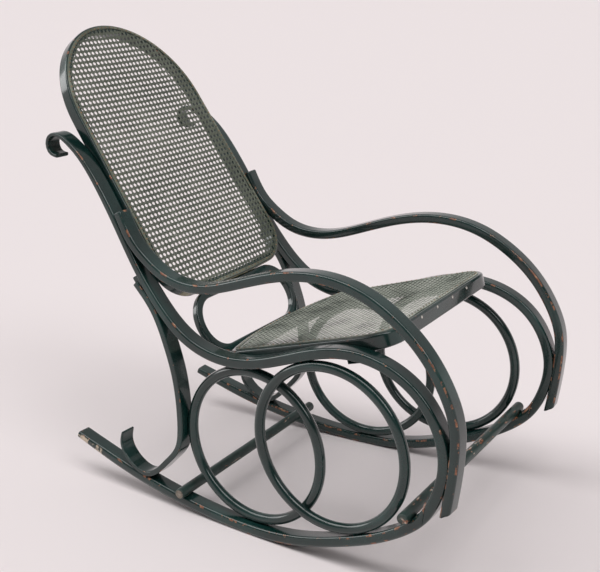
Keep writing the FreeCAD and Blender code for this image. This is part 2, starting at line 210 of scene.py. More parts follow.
def make_paint(name, wear):
    material, tree, shader = new_material(name)
    broad = add_noise(tree, 9, 5)
    fine = add_noise(tree, 120, 6, roughness=0.65)
    patches = add_noise(tree, 38, 6, roughness=0.7)
    green = add_ramp(tree, broad, bottle_greens)
    dusty = add_mix(tree, add_fade(tree, fine, 0.45, 0.8, last=0.15), green, old_dust)
    edge = add_fade(tree, add_attribute(tree, "edge"), 0.35, 0.65)
    scuffed = add_math(tree, "MULTIPLY_ADD", add_attribute(tree, "scuff"), 0.06, patches)
    rubbed = add_fade(tree, scuffed, 0.60 - wear, 0.63 - wear)
    worn = add_math(tree, "MULTIPLY", edge, rubbed)
    color = add_mix(tree, worn, dusty, add_ramp(tree, fine, wood_tones))
    specks = add_noise(tree, 230, 3)
    chipped = add_math(tree, "MULTIPLY", edge, add_fade(tree, specks, 0.69, 0.71))
    near_wear = add_fade(tree, patches, 0.57, 0.61)
    dragged = add_math(tree, "MULTIPLY", add_attribute(tree, "drag"), add_fade(tree, patches, 0.52, 0.54))
    bright = add_math(tree, "MAXIMUM", add_math(tree, "MULTIPLY", chipped, near_wear), dragged)
    color = add_mix(tree, bright, color, cream_coat)
    stripped = add_math(tree, "MULTIPLY", add_attribute(tree, "bare"), add_fade(tree, patches, 0.40, 0.48))
    color = add_mix(tree, stripped, color, stripped_wood)
    tree.links.new(color, shader.inputs["Base Color"])
    gloss = add_fade(tree, broad, 0.3, 0.7, 0.13, 0.24)
    rough = add_mix(tree, worn, gloss, grey(0.62))
    tree.links.new(rough, shader.inputs["Roughness"])
    shader.inputs["Specular IOR Level"].default_value = 0.45
    shader.inputs["Coat Weight"].default_value = 0.45
    shader.inputs["Coat Roughness"].default_value = 0.06
    brushed = add_noise(tree, 55, 1, stretch=(1, 0.4, 0.4))
    height = add_math(tree, "SUBTRACT", brushed, worn)
    add_bump(tree, shader, height, 0.12, 0.0006)
    return material


paint = make_paint("worn green paint", 0.0)
arm_paint = make_paint("green paint on the arms", 0.03)
rubbed_paint = make_paint("green paint on the runners", 0.05)

# %% [markdown]
# The side frames are bent from straps of beech, 36 mm across and about 22 mm thick. A curve object with a
# bevel could draw them, but its thickness can't change in one direction alone. So a flat section with
# rounded corners is carried along instead: a bmesh extrudes its face and moves the new face to the next
# place of the curve, as the steam bender does with a straight stick. The operator keeps the face that it
# extrudes, and inside a strap that face has to go, or it would spoil the shading and the solid. The curve
# runs smoothly through a few stations, by the cubic spline that a draughtsman's thin lath follows.

# %% A lath through stations
def lath(stations, step=8.0):
    """Points, directions and thicknesses along a smooth curve through (y, z, thickness) stations."""
    s = np.array(stations, float)
    marks = np.concatenate([[0], np.cumsum(np.hypot(*np.diff(s[:, :2], axis=0).T))])
    n = len(marks)
    gap = np.diff(marks)
    system = np.eye(n)
    right = np.zeros((n, 3))
    for i in range(1, n - 1):
        system[i, i - 1:i + 2] = gap[i - 1], 2 * (gap[i - 1] + gap[i]), gap[i]
        right[i] = 6 * ((s[i + 1] - s[i]) / gap[i] - (s[i] - s[i - 1]) / gap[i - 1])
    bend = np.linalg.solve(system, right)
    places = np.linspace(0, marks[-1], max(2, round(marks[-1] / step)) + 1)
    i = np.clip(np.searchsorted(marks, places, side="right") - 1, 0, n - 2)
    h = gap[i][:, None]
    a = (marks[i + 1] - places)[:, None] / h
    b = 1 - a
    values = a * s[i] + b * s[i + 1] + ((a**3 - a) * bend[i] + (b**3 - b) * bend[i + 1]) * h * h / 6
    slopes = (s[i + 1] - s[i]) / h + h / 6 * ((3 * b**2 - 1) * bend[i + 1] - (3 * a**2 - 1) * bend[i])
    return values[:, :2], slopes[:, :2], values[:, 2]


# %% Carry a rounded section along a curve
def bent_strap(points, slopes, thicknesses, corner=6.0):
    """A strap in the Y and Z plane, with its width along X, as a bmesh in millimetres."""
    bm = bmesh.new()
    edge = bm.verts.layers.float.new("edge")
    ring = bmesh.ops.create_grid(bm, x_segments=1, y_segments=1, size=0.5)["verts"]
    bmesh.ops.scale(bm, vec=(strap_mm, thicknesses[0], 1), verts=ring)
    bmesh.ops.bevel(bm, geom=ring, offset=corner, offset_type="OFFSET", segments=4, profile=0.5,
                    affect="VERTICES", material=-1)
    for vert in bm.verts:
        past_x = abs(vert.co.x) - (strap_mm / 2 - corner)
        past_y = abs(vert.co.y) - (thicknesses[0] / 2 - corner)
        vert[edge] = max(0.0, min(past_x, past_y) / max(past_x, past_y))

    def place(i):
        y, z = points[i]
        run = Vector((0, *slopes[i])).normalized()
        side = Vector((0, -run.z, run.y))
        turn = Matrix((Vector((1, 0, 0)), side, run)).transposed().to_4x4()
        thin = Matrix.Scale(thicknesses[i] / thicknesses[0], 4, Vector((0, 1, 0)))
        return Matrix.Translation((0, y, z)) @ turn @ thin

    face = max(bm.faces, key=lambda f: f.calc_area())
    bmesh.ops.transform(bm, matrix=place(0), verts=bm.verts)
    for i in range(1, len(points)):
        old = face
        new = bmesh.ops.extrude_face_region(bm, geom=[old])["geom"]
        face = [g for g in new if isinstance(g, bmesh.types.BMFace)][0]
        if i > 1:
            bmesh.ops.delete(bm, geom=[old], context="FACES_ONLY")
        bmesh.ops.transform(bm, matrix=place(i) @ place(i - 1).inverted(), verts=face.verts)
    return bm


# %% Round the ends, saw a strap off and mark a region
def ease_ends(bm, offset):
    """Round the rims of the two flat ends, the only faces with more than eight corners."""
    ends = [f for f in bm.faces if len(f.verts) > 8]
    edge = bm.verts.layers.float["edge"]
    rims = dict.fromkeys(e for f in ends for e in f.edges)
    for f in ends:
        for vert in f.verts:
            vert[edge] = 1.0
    bmesh.ops.bevel(bm, geom=list(rims), offset=offset, offset_type="OFFSET", segments=2, profile=0.5,
                    affect="EDGES", material=-1)


def cut_away(bm, first, second, keep_point, reach=120.0):
    """Saw the strap near two (y, z) points and keep the side that holds a third one."""
    a, b = Vector((0, *first)), Vector((0, *second))
    normal = Vector((1, 0, 0)).cross(b - a).normalized()
    if (Vector((0, *keep_point)) - a).dot(normal) < 0:
        normal = -normal
    near = [v for v in bm.verts if (v.co - a).yz.length < reach]
    reached = set(near)
    geom = near + [g for g in list(bm.edges) + list(bm.faces) if reached.issuperset(g.verts)]
    cut = bmesh.ops.bisect_plane(bm, geom=geom, plane_co=a, plane_no=normal, clear_inner=True)["geom_cut"]
    bmesh.ops.contextual_create(bm, geom=[g for g in cut if isinstance(g, bmesh.types.BMEdge)])


def mark(bm, name, chosen):
    """An attribute that is 1 where chosen(co) holds, with co in the drawing's own units."""
    layer = bm.verts.layers.float.new(name)
    for vert in bm.verts:
        vert[layer] = 1.0 if chosen(vert.co) else 0.0


# %% The same piece on both sides
def other_side(bm):
    """The same bmesh, mirrored to the other side of the chair."""
    twin = bm.copy()
    bmesh.ops.transform(twin, matrix=Matrix.Scale(-1, 4, Vector((1, 0, 0))), verts=twin.verts)
    bmesh.ops.reverse_faces(twin, faces=twin.faces)
    return twin


def both_sides(name, bm, material, replaced):
    """Finish a piece of the right side frame, and its mirror image for the left one."""
    place = side_plane @ Matrix.Scale(mm, 4)
    bmesh.ops.transform(bm, matrix=place, verts=bm.verts)
    twin = other_side(bm)
    still = Matrix.Identity(4)
    finish_piece(name + "_right_bent", bm, still, material, [replaced + "_right"])
    finish_piece(name + "_left_bent", twin, still, material, [replaced + "_left"])


# %% [markdown]
# The long strap of each side starts as the runner on the floor, turns up into the front loop, passes
# under the seat as the side rail, climbs as the post of the back and ends in a scroll. Behind the loop
# a slanting glued joint divides it: the rocker below, the rail above.

# %% Stations of the side strap
runner_low_y, rear_radius, front_radius = 11.0, 1380.0, 520.0
runner_rear_y, runner_front_y, runner_thickness, runner_taper = 500.0, -120.0, 22.0, 6.0


def runner_station(y):
    radius = rear_radius if y > runner_low_y else front_radius
    angle = math.asin((y - runner_low_y) / radius)
    thickness = runner_thickness - (runner_taper if y == runner_rear_y else 0)
    reach = radius - thickness / 2
    return (runner_low_y + reach * math.sin(angle), radius - reach * math.cos(angle), thickness)


runner = [runner_station(runner_rear_y + (runner_low_y - runner_rear_y) * i / 4) for i in range(5)]
runner += [runner_station((runner_low_y + runner_front_y) / 2), runner_station(runner_front_y)]
loop = [(-200, 54, 22), (-270, 83, 22), (-336, 121, 22), (-387, 169, 22), (-413, 226, 22),
        (-421, 283, 22), (-407, 341, 21), (-366, 399, 20), (-298, 438, 20), (-222, 448, 21),
        (-140, 431, 22), (-62, 401, 22), (20, 376, 22), (102, 373, 22), (178, 399, 21),
        (249, 463, 19), (303, 537, 17), (350, 616, 16), (400, 693, 14), (441, 742, 12), (479, 771, 10)]

# %% Stations of the scroll
scroll_y, scroll_z, scroll_radius, scroll_thickness = 510, 759, 23, 8.5
scroll_start, scroll_sweep = 105, 205
scroll = []
for i in range(5):
    turn = math.radians(scroll_start - scroll_sweep * i / 4)
    scroll.append((scroll_y + scroll_radius * math.cos(turn), scroll_z + scroll_radius * math.sin(turn),
                   scroll_thickness))
points, slopes, gauges = lath(runner + loop + scroll)
print("side strap, points:", len(points))

# %% Rocker and rail
scarf_outer, scarf_inner = (-384, 138), (-392, 212)
scarf_middle = (-400, 190)
meeting = int(np.argmin(np.hypot(points[:, 0] - scarf_middle[0], points[:, 1] - scarf_middle[1])))
spare = 8
low_end = meeting + spare
rocker = bent_strap(points[:low_end], slopes[:low_end], gauges[:low_end])
cut_away(rocker, scarf_outer, scarf_inner, (-300, 100))
ease_ends(rocker, 1.2)


def dragged_on_floor(co):
    """The outer side of the runner's rear end and the lower edge under it."""
    rear_from, lower_edge, side_face, side_top = 400, 6.5, -17.5, 17.5
    underside = rear_radius - math.sqrt(rear_radius**2 - (co.y - runner_low_y)**2)
    height = co.z - underside
    on_edge = co.x < 0 and height < lower_edge
    on_side = co.x < side_face and height < side_top
    return co.y > rear_from and (on_edge or on_side)


mark(rocker, "drag", dragged_on_floor)
both_sides("rocker", rocker, rubbed_paint, "rocker")
high_end = meeting - spare - 1
rail = bent_strap(points[high_end:], slopes[high_end:], gauges[high_end:])
cut_away(rail, scarf_outer, scarf_inner, (-450, 300))
ease_ends(rail, 1.2)
both_sides("side_rail", rail, paint, "side_rail")

# %% [markdown]
# Each arm is a strap of its own. It starts on the front of the post, swings down and forward in a long
# wave, and comes down in front of the loop, where its end is sawn off on a slant. Where it lies on the
# side strap, its stations are worked out from that strap, so the two touch whatever their thickness.

# %% A station beside the side strap
outer_face, inner_face = 1, -1


def beside(y, z, face, gap, thickness):
    """A station whose strap lies on a face of the side strap: outside or inside the front loop."""
    i = int(np.argmin(np.hypot(points[:, 0] - y, points[:, 1] - z)))
    run = slopes[i] / np.hypot(*slopes[i])
    reach = face * (gauges[i] / 2 + gap + thickness / 2)
    return (points[i][0] - run[1] * reach, points[i][1] + run[0] * reach, thickness)


# %% Arm
arm_thickness = 20
free = [(270, 545), (225, 519), (175, 508), (115, 512), (45, 533), (-35, 561), (-110, 578),
        (-178, 580), (-245, 566), (-310, 533), (-368, 485), (-412, 425), (-437, 365)]
arm_stations = [beside(y, z, outer_face, 0, arm_thickness) for y, z in ((361, 628), (320, 563))]
arm_stations += [(y, z, arm_thickness) for y, z in free]
arm_stations += [beside(-421, 290, outer_face, 0, arm_thickness), (-427, 172, arm_thickness)]
arm = bent_strap(*lath(arm_stations))
saw_from, saw_to, kept_above = (-410, 172), (-450, 195), (-430, 400)
cut_away(arm, saw_from, saw_to, kept_above)
ease_ends(arm, 2.5)
scuffed_before_y = -340
mark(arm, "scuff", lambda co: co.y < scuffed_before_y)
both_sides("arm", arm, arm_paint, "arm")

# %% [markdown]
# The rear brace leaves the back of the post, runs down behind the rear ring and curls up like a shaving
# where it meets the runner. It thins towards the tip. It is bent like the side strap and made the same
# way. Its corners are less rounded, so that they don't meet where it is thin.

# %% Where the rings are
def ring_place(name):
    """Middle height and outer radius of a ring, from its box."""
    low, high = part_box(name)
    return (low.z + high.z) / 2 / mm, (high.z - low.z) / 2 / mm


rear_z, rear_radius_out = ring_place("rear_ring_right")
front_z, front_radius_out = ring_place("front_ring_right")
rear_ring_y, front_ring_y = 13.0, -176.4
print("rings, outer radius in mm:", round(rear_radius_out, 1), round(front_radius_out, 1))

# %% Rear brace
spacer_gap = 5
behind = rear_ring_y + rear_radius_out + 7.2
brace_stations = [beside(281, 507, inner_face, spacer_gap, 14), beside(243, 455, inner_face, 0, 14),
                  (223, 378, 14), (202, 312, 14), (behind, rear_z + 35, 14), (behind, rear_z - 10, 14),
                  (198, 148, 13), (234, 101, 12), beside(300, 20, inner_face, 0, 10.5),
                  (347, 82, 8), (362, 112, 6.5), (357, 140, 5)]
brace = bent_strap(*lath(brace_stations, 6.0), corner=2.6)
ease_ends(brace, 1.2)
both_sides("rear_brace", brace, arm_paint, "rear_brace")

# %% [markdown]
# Two rings of round section cross in each side frame, the front one on the outside. A torus from the add
# menu would do for a look. Here a circle of vertices is spun about the ring's middle, because the packed
# model gives that middle and the outer radius. Spinning all the way round with use_merge closes the ring.
# On the real chair one ring is probably notched where they cross. That can't be seen, and here the two
# rings run into each other.

# %% Rings
ring_section_radius = 10.8
ring_offset = 7.0


def make_ring(name, ring_y, ring_z, outer_radius, offset):
    bm = bmesh.new()
    edge = bm.verts.layers.float.new("edge")
    section = bmesh.ops.create_circle(bm, segments=16, radius=ring_section_radius)["verts"]
    bmesh.ops.rotate(bm, verts=section, cent=(0, 0, 0), matrix=Matrix.Rotation(math.radians(90), 3, "Y"))
    bmesh.ops.rotate(bm, verts=section, cent=(0, 0, 0), matrix=Matrix.Rotation(math.radians(90), 3, "Z"))
    bmesh.ops.translate(bm, verts=section, vec=(offset, 0, outer_radius - ring_section_radius))
    bmesh.ops.spin(bm, geom=bm.verts[:] + bm.edges[:], cent=(offset, 0, 0), axis=(1, 0, 0),
                   angle=math.tau, steps=120, use_merge=True)
    for vert in bm.verts:
        vert[edge] = 0.0
    bmesh.ops.translate(bm, verts=bm.verts, vec=(0, ring_y, ring_z))
    both_sides(name, bm, paint, name)


make_ring("rear_ring", rear_ring_y, rear_z, rear_radius_out, ring_offset)
make_ring("front_ring", front_ring_y, front_z, front_radius_out, -ring_offset)

# %% [markdown]
# The two stretchers are round rods laid across the runners. Their ends stand out at the sides, and at the
# rear one the paint has long gone from the end grain. A cone with two equal radii is a rod with flat
# ends, and a bevel rounds its rims. The noise of its paint is drawn out along the rod, like the grain.

# %% Paint of the rods
rod_greens = [(0.3, (0.006, 0.024, 0.021)), (0.8, (0.035, 0.065, 0.055))]
rod_wood = [(0.3, (0.16, 0.045, 0.020)), (0.5, (0.42, 0.14, 0.06)), (0.62, (0.72, 0.64, 0.56))]
end_grain = [(0.3, (0.10, 0.075, 0.055)), (0.7, (0.38, 0.33, 0.27))]


def make_rod_paint(name, bare_from):
    """Green paint, bare where the noise is above bare_from, with end grain where edge is 1."""
    material, tree, shader = new_material(name)
    patches = add_noise(tree, 70, 6, stretch=(0.3, 1, 1), roughness=0.75)
    fine = add_noise(tree, 150, 6, stretch=(0.3, 1, 1))
    ends = add_attribute(tree, "edge")
    green = add_ramp(tree, fine, rod_greens)
    bare = add_fade(tree, patches, bare_from, bare_from + 0.04)
    color = add_mix(tree, bare, green, add_ramp(tree, fine, rod_wood))
    color = add_mix(tree, ends, color, add_ramp(tree, fine, end_grain))
    tree.links.new(color, shader.inputs["Base Color"])
    tree.links.new(add_fade(tree, patches, 0.4, 0.7, 0.3, 0.6), shader.inputs["Roughness"])
    add_bump(tree, shader, fine, 0.08, 0.0004)
    return material


rear_rod_paint = make_rod_paint("green paint on the rear rod", 0.62)
front_rod_paint = make_rod_paint("green paint worn off the front rod", 0.57)


# %% Stretchers
rod_round = 3 * mm


def make_rod(name, material, bare_end):
    low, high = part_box(name)
    length, radius = high.x - low.x, (high.z - low.z) / 2
    bm = bmesh.new()
    edge = bm.verts.layers.float.new("edge")
    bmesh.ops.create_cone(bm, cap_ends=True, segments=40, radius1=radius, radius2=radius, depth=length)
    rims = [e for e in bm.edges if abs(e.verts[0].co.z - e.verts[1].co.z) < 1e-6]
    bmesh.ops.bevel(bm, geom=rims, offset=rod_round, offset_type="OFFSET", segments=3, profile=0.5,
                    affect="EDGES", material=-1)
    for vert in bm.verts:
        on_end = math.hypot(vert.co.x, vert.co.y) < radius - 0.8 * rod_round
        vert[edge] = bare_end if on_end else 0.0
    bmesh.ops.rotate(bm, verts=bm.verts, cent=(0, 0, 0), matrix=Matrix.Rotation(math.radians(90), 3, "Y"))
    bmesh.ops.translate(bm, verts=bm.verts, vec=(low + high) / 2)
    finish_piece(name + "_rod", bm, Matrix.Identity(4), material, [name])


make_rod("rear_stretcher", rear_rod_paint, 0.9)
make_rod("front_stretcher", front_rod_paint, 0.1)

# %% [markdown]
# The seat's rim, the back's rim and the hoop are flat frames of wood. Their outlines already exist in
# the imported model, so a cut through the middle of the node gives each outline exactly, which is surer
# than drawing it again. Its edges are kept in a dictionary and not in a set, because a set of mesh parts
# has another order in each run, and the outline would start at another point each time. A face is filled
# into it, inset to make the frame, extruded to its depth and bevelled.

# %% Read an outline from a node
def node_outline(name, plane, height):
    """The outer loop of a node, cut at a height in a plane's own directions. Points in metres."""
    bm = bmesh.new()
    bm.from_mesh(nodes[name].data)
    bmesh.ops.transform(bm, matrix=plane.inverted(), verts=bm.verts)
    bmesh.ops.remove_doubles(bm, verts=bm.verts, dist=1e-6)
    geom = bm.verts[:] + bm.edges[:] + bm.faces[:]
    cut = bmesh.ops.bisect_plane(bm, geom=geom, plane_co=(0, 0, height), plane_no=(0, 0, 1))["geom_cut"]
    edges = dict.fromkeys(g for g in cut if isinstance(g, bmesh.types.BMEdge))
    loops = []
    while edges:
        first = next(iter(edges))
        del edges[first]
        loop = [first.verts[0], first.verts[1]]
        grown = True
        while grown:
            grown = False
            for e in loop[-1].link_edges:
                if e in edges:
                    del edges[e]
                    loop.append(e.other_vert(loop[-1]))
                    grown = True
                    break
        loops.append([(v.co.x, v.co.y) for v in loop[:-1]])
    bm.free()
    widest = max(loops, key=lambda pts: max(x for x, y in pts) - min(x for x, y in pts))
    return np.array(widest)


def even_outline(outline, step):
    """The same loop with points at even steps."""
    closed = np.vstack([outline, outline[:1]])
    marks = np.concatenate([[0], np.cumsum(np.hypot(*np.diff(closed, axis=0).T))])
    places = np.linspace(0, marks[-1], max(8, round(marks[-1] / step)), endpoint=False)
    return np.stack([np.interp(places, marks, closed[:, k]) for k in (0, 1)], axis=1)


# %% Make a flat frame from an outline
sharp_turn = 0.8


def flat_frame(outline, width, top, bottom, round_top, round_bottom):
    """A frame with its outer side on the outline. Edge is 1 inside the rounded rims."""
    bm = bmesh.new()
    edge = bm.verts.layers.float.new("edge")
    face = bm.faces.new([bm.verts.new((x, y, bottom)) for x, y in outline])
    bmesh.ops.recalc_face_normals(bm, faces=[face])
    bmesh.ops.inset_region(bm, faces=[face], thickness=width, use_even_offset=True, use_boundary=True)
    bmesh.ops.delete(bm, geom=[face], context="FACES_ONLY")
    extruded = bmesh.ops.extrude_face_region(bm, geom=bm.faces[:])["geom"]
    raised = [g for g in extruded if isinstance(g, bmesh.types.BMVert)]
    bmesh.ops.translate(bm, verts=raised, vec=(0, 0, top - bottom))
    bmesh.ops.recalc_face_normals(bm, faces=bm.faces[:])
    outer = [e for e in bm.edges if len(e.link_faces) == 2 and e.calc_face_angle() > sharp_turn]
    upper = [e for e in outer if min(v.co.z for v in e.verts) > (top + bottom) / 2]
    lower = [e for e in outer if max(v.co.z for v in e.verts) < (top + bottom) / 2]
    for rims, radius in ((upper, round_top), (lower, round_bottom)):
        made = bmesh.ops.bevel(bm, geom=rims, offset=radius, offset_type="OFFSET", segments=4, profile=0.5,
                               affect="EDGES", material=-1)
        rounded = set(made["faces"])
        for vert in made["verts"]:
            vert[edge] = 1.0 if rounded.issuperset(vert.link_faces) else 0.0
    return bm


# %% Seat rim
seat_outline = node_outline("seat_frame", seat_plane, -15 * mm)
seat_rim = flat_frame(even_outline(seat_outline, 8 * mm), width=26 * mm, top=0, bottom=-30 * mm,
                      round_top=5 * mm, round_bottom=4 * mm)
finish_piece("seat_rim", seat_rim, seat_plane, paint, ["seat_frame"])

# %% Back rim
back_outline = node_outline("back_frame", back_plane, -13 * mm)
back_rim = flat_frame(even_outline(back_outline, 8 * mm), width=18 * mm, top=0, bottom=-26 * mm,
                      round_top=3.5 * mm, round_bottom=3.5 * mm)
mark(back_rim, "bare", lambda co: co.y < 16 * mm and co.z < -1 * mm)
finish_piece("back_rim", back_rim, back_plane, paint, ["back_frame"])

# %% Rear hoop
hoop_outline = node_outline("rear_hoop", hoop_plane, 0)
hoop = flat_frame(even_outline(hoop_outline, 7 * mm), width=18 * mm, top=8 * mm, bottom=-8 * mm,
                  round_top=3.5 * mm, round_bottom=3.5 * mm)
finish_piece("back_hoop", hoop, hoop_plane, paint, ["rear_hoop"])

# %% [markdown]
# The blocks under the seat, behind it and between brace and post are plain sawn wood on the real chair
# too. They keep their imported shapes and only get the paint.

# %% Paint the small blocks
blocks = ["seat_block_right", "seat_block_left", "hoop_block", "brace_spacer_right", "brace_spacer_left"]
for name in blocks:
    nodes[name].data.materials.clear()
    nodes[name].data.materials.append(paint)
print("painted blocks:", len(blocks))

# %% [markdown]
# Cane is the skin of rattan, drawn through holes in the rim. Two strands go up through every hole, two go
# across, and one runs along each diagonal. Where the diagonals cross, at the middles of the sides of each
# square, they turn its opening into an eight-sided one. A flat sheet with a picture of holes would look
# thin from the side, so real strands are made. Each is a thin ridge extruded step by step, up over one
# crossing and down under the next, and copies of it then cover the whole panel. What stands
# outside the panel's outline is deleted, one whole section of a strand at a time, and the cut ends are
# filled. At last the panel sags a little, as cane does that has been sat on for years.

# %% One strand
def strand(bm, length, step, lift, start_phase, width, thickness):
    """A ribbon with a raised middle, along +Y from the origin, that waves in Z once in four steps."""
    ridge, side = bm.verts.layers.float["ridge"], bm.verts.layers.float["side"]
    corners = [bm.verts.new(place) for place in ((-width / 2, 0, 0), (width / 2, 0, 0), (0, 0, thickness))]
    corners[2][ridge] = 1.0
    bm.faces.new(corners)
    wave = [lift, 0, -lift, 0]
    bmesh.ops.translate(bm, verts=corners, vec=(0, 0, wave[start_phase % 4]))
    ring = [e for e in bm.edges if e.verts[0] in corners and e.verts[1] in corners]
    made = list(corners)
    for i in range(1, int(length / step) + 1):
        rise = wave[(start_phase + i) % 4] - wave[(start_phase + i - 1) % 4]
        new = bmesh.ops.extrude_edge_only(bm, edges=ring)["geom"]
        verts = [g for g in new if isinstance(g, bmesh.types.BMVert)]
        top = max(verts, key=lambda v: v.co.z)
        for vert in verts:
            vert[ridge] = 1.0 if vert is top else 0.0
        ring = [g for g in new if isinstance(g, bmesh.types.BMEdge) and set(g.verts) <= set(verts)]
        bmesh.ops.translate(bm, verts=verts, vec=(0, step, rise))
        made += verts
    for vert in made:
        vert[side] = vert.co.x
    return made


def copy_strand(bm, verts, offset):
    edges = dict.fromkeys(e for v in verts for e in v.link_edges)
    faces = dict.fromkeys(f for v in verts for f in v.link_faces)
    new = bmesh.ops.duplicate(bm, geom=list(verts) + list(edges) + list(faces))["geom"]
    moved = [g for g in new if isinstance(g, bmesh.types.BMVert)]
    bmesh.ops.translate(bm, verts=moved, vec=offset)
    return moved


# %% One direction of the weave
def direction(half_size, turn, offsets, spacing, step, lift, phases, width, thickness):
    """Strands over a square of twice half_size, turned about Z, at even or odd phases."""
    bm = bmesh.new()
    bm.verts.layers.float.new("ridge")
    bm.verts.layers.float.new("side")
    count = int(half_size / spacing)
    length = 2 * half_size
    first = []
    for phase in phases:
        first.append(strand(bm, length, step, lift, phase, width, thickness))
    for k in range(-count, count + 1):
        source = first[k % len(first)]
        for offset in offsets:
            start = -round(half_size / step / 4) * 4 * step
            copy_strand(bm, source, (k * spacing + offset, start, 0))
    bmesh.ops.delete(bm, geom=[v for verts in first for v in verts], context="VERTS")
    bmesh.ops.rotate(bm, verts=bm.verts, cent=(0, 0, 0), matrix=Matrix.Rotation(turn, 3, "Z"))
    return bm


# %% Which points a panel keeps
def inside(outline, xy):
    """Which points lie inside a loop."""
    result = np.zeros(len(xy), bool)
    for (x1, y1), (x2, y2) in zip(outline, np.roll(outline, -1, axis=0)):
        crosses = (y1 > xy[:, 1]) != (y2 > xy[:, 1])
        with np.errstate(divide="ignore", invalid="ignore"):
            result ^= crosses & (xy[:, 0] < (x2 - x1) * (xy[:, 1] - y1) / (y2 - y1) + x1)
    return result


# %% A woven panel
hole_pitch = 12.5 * mm


def weave(name, outline, plane, strand_width, thickness, sag, material, replaced):
    """All four directions of one panel, cut to its outline. A slanted square reaches 1.42 times as far."""
    center = (outline.min(0) + outline.max(0)) / 2
    half = (outline.max(0) - outline.min(0)) / 2
    pitch = hole_pitch
    reach = max(half) + 2 * pitch
    pair = [-strand_width * 0.54, strand_width * 0.54]
    lift, level = 0.5 * thickness, 0.65 * mm
    panel = bmesh.new()
    mesh = bpy.data.meshes.new("strands")
    diagonal_pitch = pitch / math.sqrt(2)
    straight = (pair, pitch, pitch / 2)
    slanted = ([0.5 * diagonal_pitch], diagonal_pitch, diagonal_pitch / 2)
    slanted_width = strand_width * 0.82
    quarter, eighth = math.radians(90), math.radians(45)
    for turn, offsets, spacing, step, phases, width in (
            (0.0, *straight, (0, 2), strand_width),
            (quarter, *straight, (2, 0), strand_width),
            (eighth, *slanted, (1, 3), slanted_width),
            (-eighth, *slanted, (3, 1), slanted_width)):
        half_size = reach * (1.42 if abs(turn) == eighth else 1.0)
        bm = direction(half_size, turn, offsets, spacing, step, lift, phases, width, thickness)
        side = bm.verts.layers.float["side"]
        sideways = np.array([math.cos(turn), math.sin(turn)])
        verts = list(bm.verts)
        middles = np.array([v.co.xy for v in verts])
        middles -= np.array([v[side] for v in verts])[:, None] * sideways
        out = ~inside(outline, middles + center)
        bmesh.ops.delete(bm, geom=[verts[i] for i in np.flatnonzero(out)], context="VERTS")
        ends = [e for e in bm.edges if len(e.link_faces) < 2]
        bmesh.ops.holes_fill(bm, edges=ends, sides=3)
        bmesh.ops.translate(bm, verts=bm.verts, vec=(*center, level))
        bm.to_mesh(mesh)
        bm.free()
        panel.from_mesh(mesh)
    for vert in panel.verts:
        across = 1 - ((vert.co.x - center[0]) / half[0]) ** 2
        along = 1 - ((vert.co.y - center[1]) / half[1]) ** 2
        vert.co.z -= sag * max(across, 0) * max(along, 0)
    bpy.data.meshes.remove(mesh)
    return finish_piece(name, panel, plane, material, replaced, smooth=False)


# %% [markdown]
# The cane was painted over with the chair. The paint has stayed in the hollows and on the back, and
# has rubbed off the seat, which is lighter and greyer. Slow changes of colour come from large noise, and
# the grain of the fibres from very fine noise. The attribute ridge is 1 along the raised middle of a
# strand, and the two lower edges of each strand are mixed towards a dark colour as painted shade.

# %% Painted cane
def make_cane(name, dark, middle_tone, light, warm):
    material, tree, shader = new_material(name)
    broad = add_noise(tree, 11, 4)
    fine = add_noise(tree, 420, 5, roughness=0.7)
    slow, quick = add_math(tree, "MULTIPLY", broad, 0.6), add_math(tree, "MULTIPLY", fine, 0.4)
    tone = add_math(tree, "ADD", slow, quick)
    color = add_ramp(tree, tone, [(0.36, dark), (0.5, middle_tone), (0.66, light)])
    blotches = add_noise(tree, 60, 5, roughness=0.8)
    color = add_mix(tree, add_fade(tree, blotches, 0.60, 0.72, last=0.6), color, warm)
    # Painted shade: the two lower edges of a strand, away from its ridge, are mixed towards the dark
    # colour.
    color = add_mix(tree, add_fade(tree, add_attribute(tree, "ridge"), 0.3, 0.85), dark, color)
    tree.links.new(color, shader.inputs["Base Color"])
    tree.links.new(add_fade(tree, fine, 0.3, 0.7, 0.42, 0.62), shader.inputs["Roughness"])
    add_bump(tree, shader, fine, 0.3, 0.0003)
    return material


# The first colour of each cane is its darkest tone and also the painted shade along the lower edges of its
# strands.
back_cane_paint = make_cane("painted cane of the back", (0.064, 0.080, 0.056), (0.15, 0.168, 0.125),
                            (0.27, 0.29, 0.23), (0.27, 0.21, 0.12))
seat_cane_paint = make_cane("rubbed cane of the seat", (0.060, 0.072, 0.055), (0.44, 0.47, 0.40),
                            (0.62, 0.63, 0.56), (0.50, 0.43, 0.28))

# %% Weave the back and the seat
back_cane_edge = node_outline("back_cane", back_plane, 1 * mm)
seat_cane_edge = node_outline("seat_cane", seat_plane, 1 * mm)
weave("back_weave", back_cane_edge, back_plane, strand_width=2.4 * mm, thickness=0.8 * mm, sag=4 * mm,
      material=back_cane_paint, replaced=["back_cane"])
weave("seat_weave", seat_cane_edge, seat_plane, strand_width=2.1 * mm, thickness=0.45 * mm, sag=8 * mm,
      material=seat_cane_paint, replaced=["seat_cane"])

# %% [markdown]
# Round each panel a flat strip of cane hides the ends of the strands, and pegs hold it in the rim's
# holes. The pegs are as far apart as the strands. The strip is one more flat frame, and a peg is a low
# cone. Every peg is a shape of its own and not an instance, so that the panel's pegs stay one mesh.

# %% Wood of the pegs
peg_tones = [(0.35, (0.05, 0.055, 0.045)), (0.5, (0.22, 0.13, 0.07)), (0.65, (0.42, 0.25, 0.14))]


def make_peg_wood():
    material, tree, shader = new_material("bare pegs")
    tone = add_noise(tree, 90, 3)
    tree.links.new(add_ramp(tree, tone, peg_tones), shader.inputs["Base Color"])
    tree.links.new(add_fade(tree, tone, 0.3, 0.7, 0.5, 0.7), shader.inputs["Roughness"])
    return material


peg_wood = make_peg_wood()

# %% Border strips and pegs
peg_radius, peg_top_radius, peg_depth, peg_level = 2.0 * mm, 1.5 * mm, 1.4 * mm, 2.1 * mm
peg_set_out = 2.0 * mm


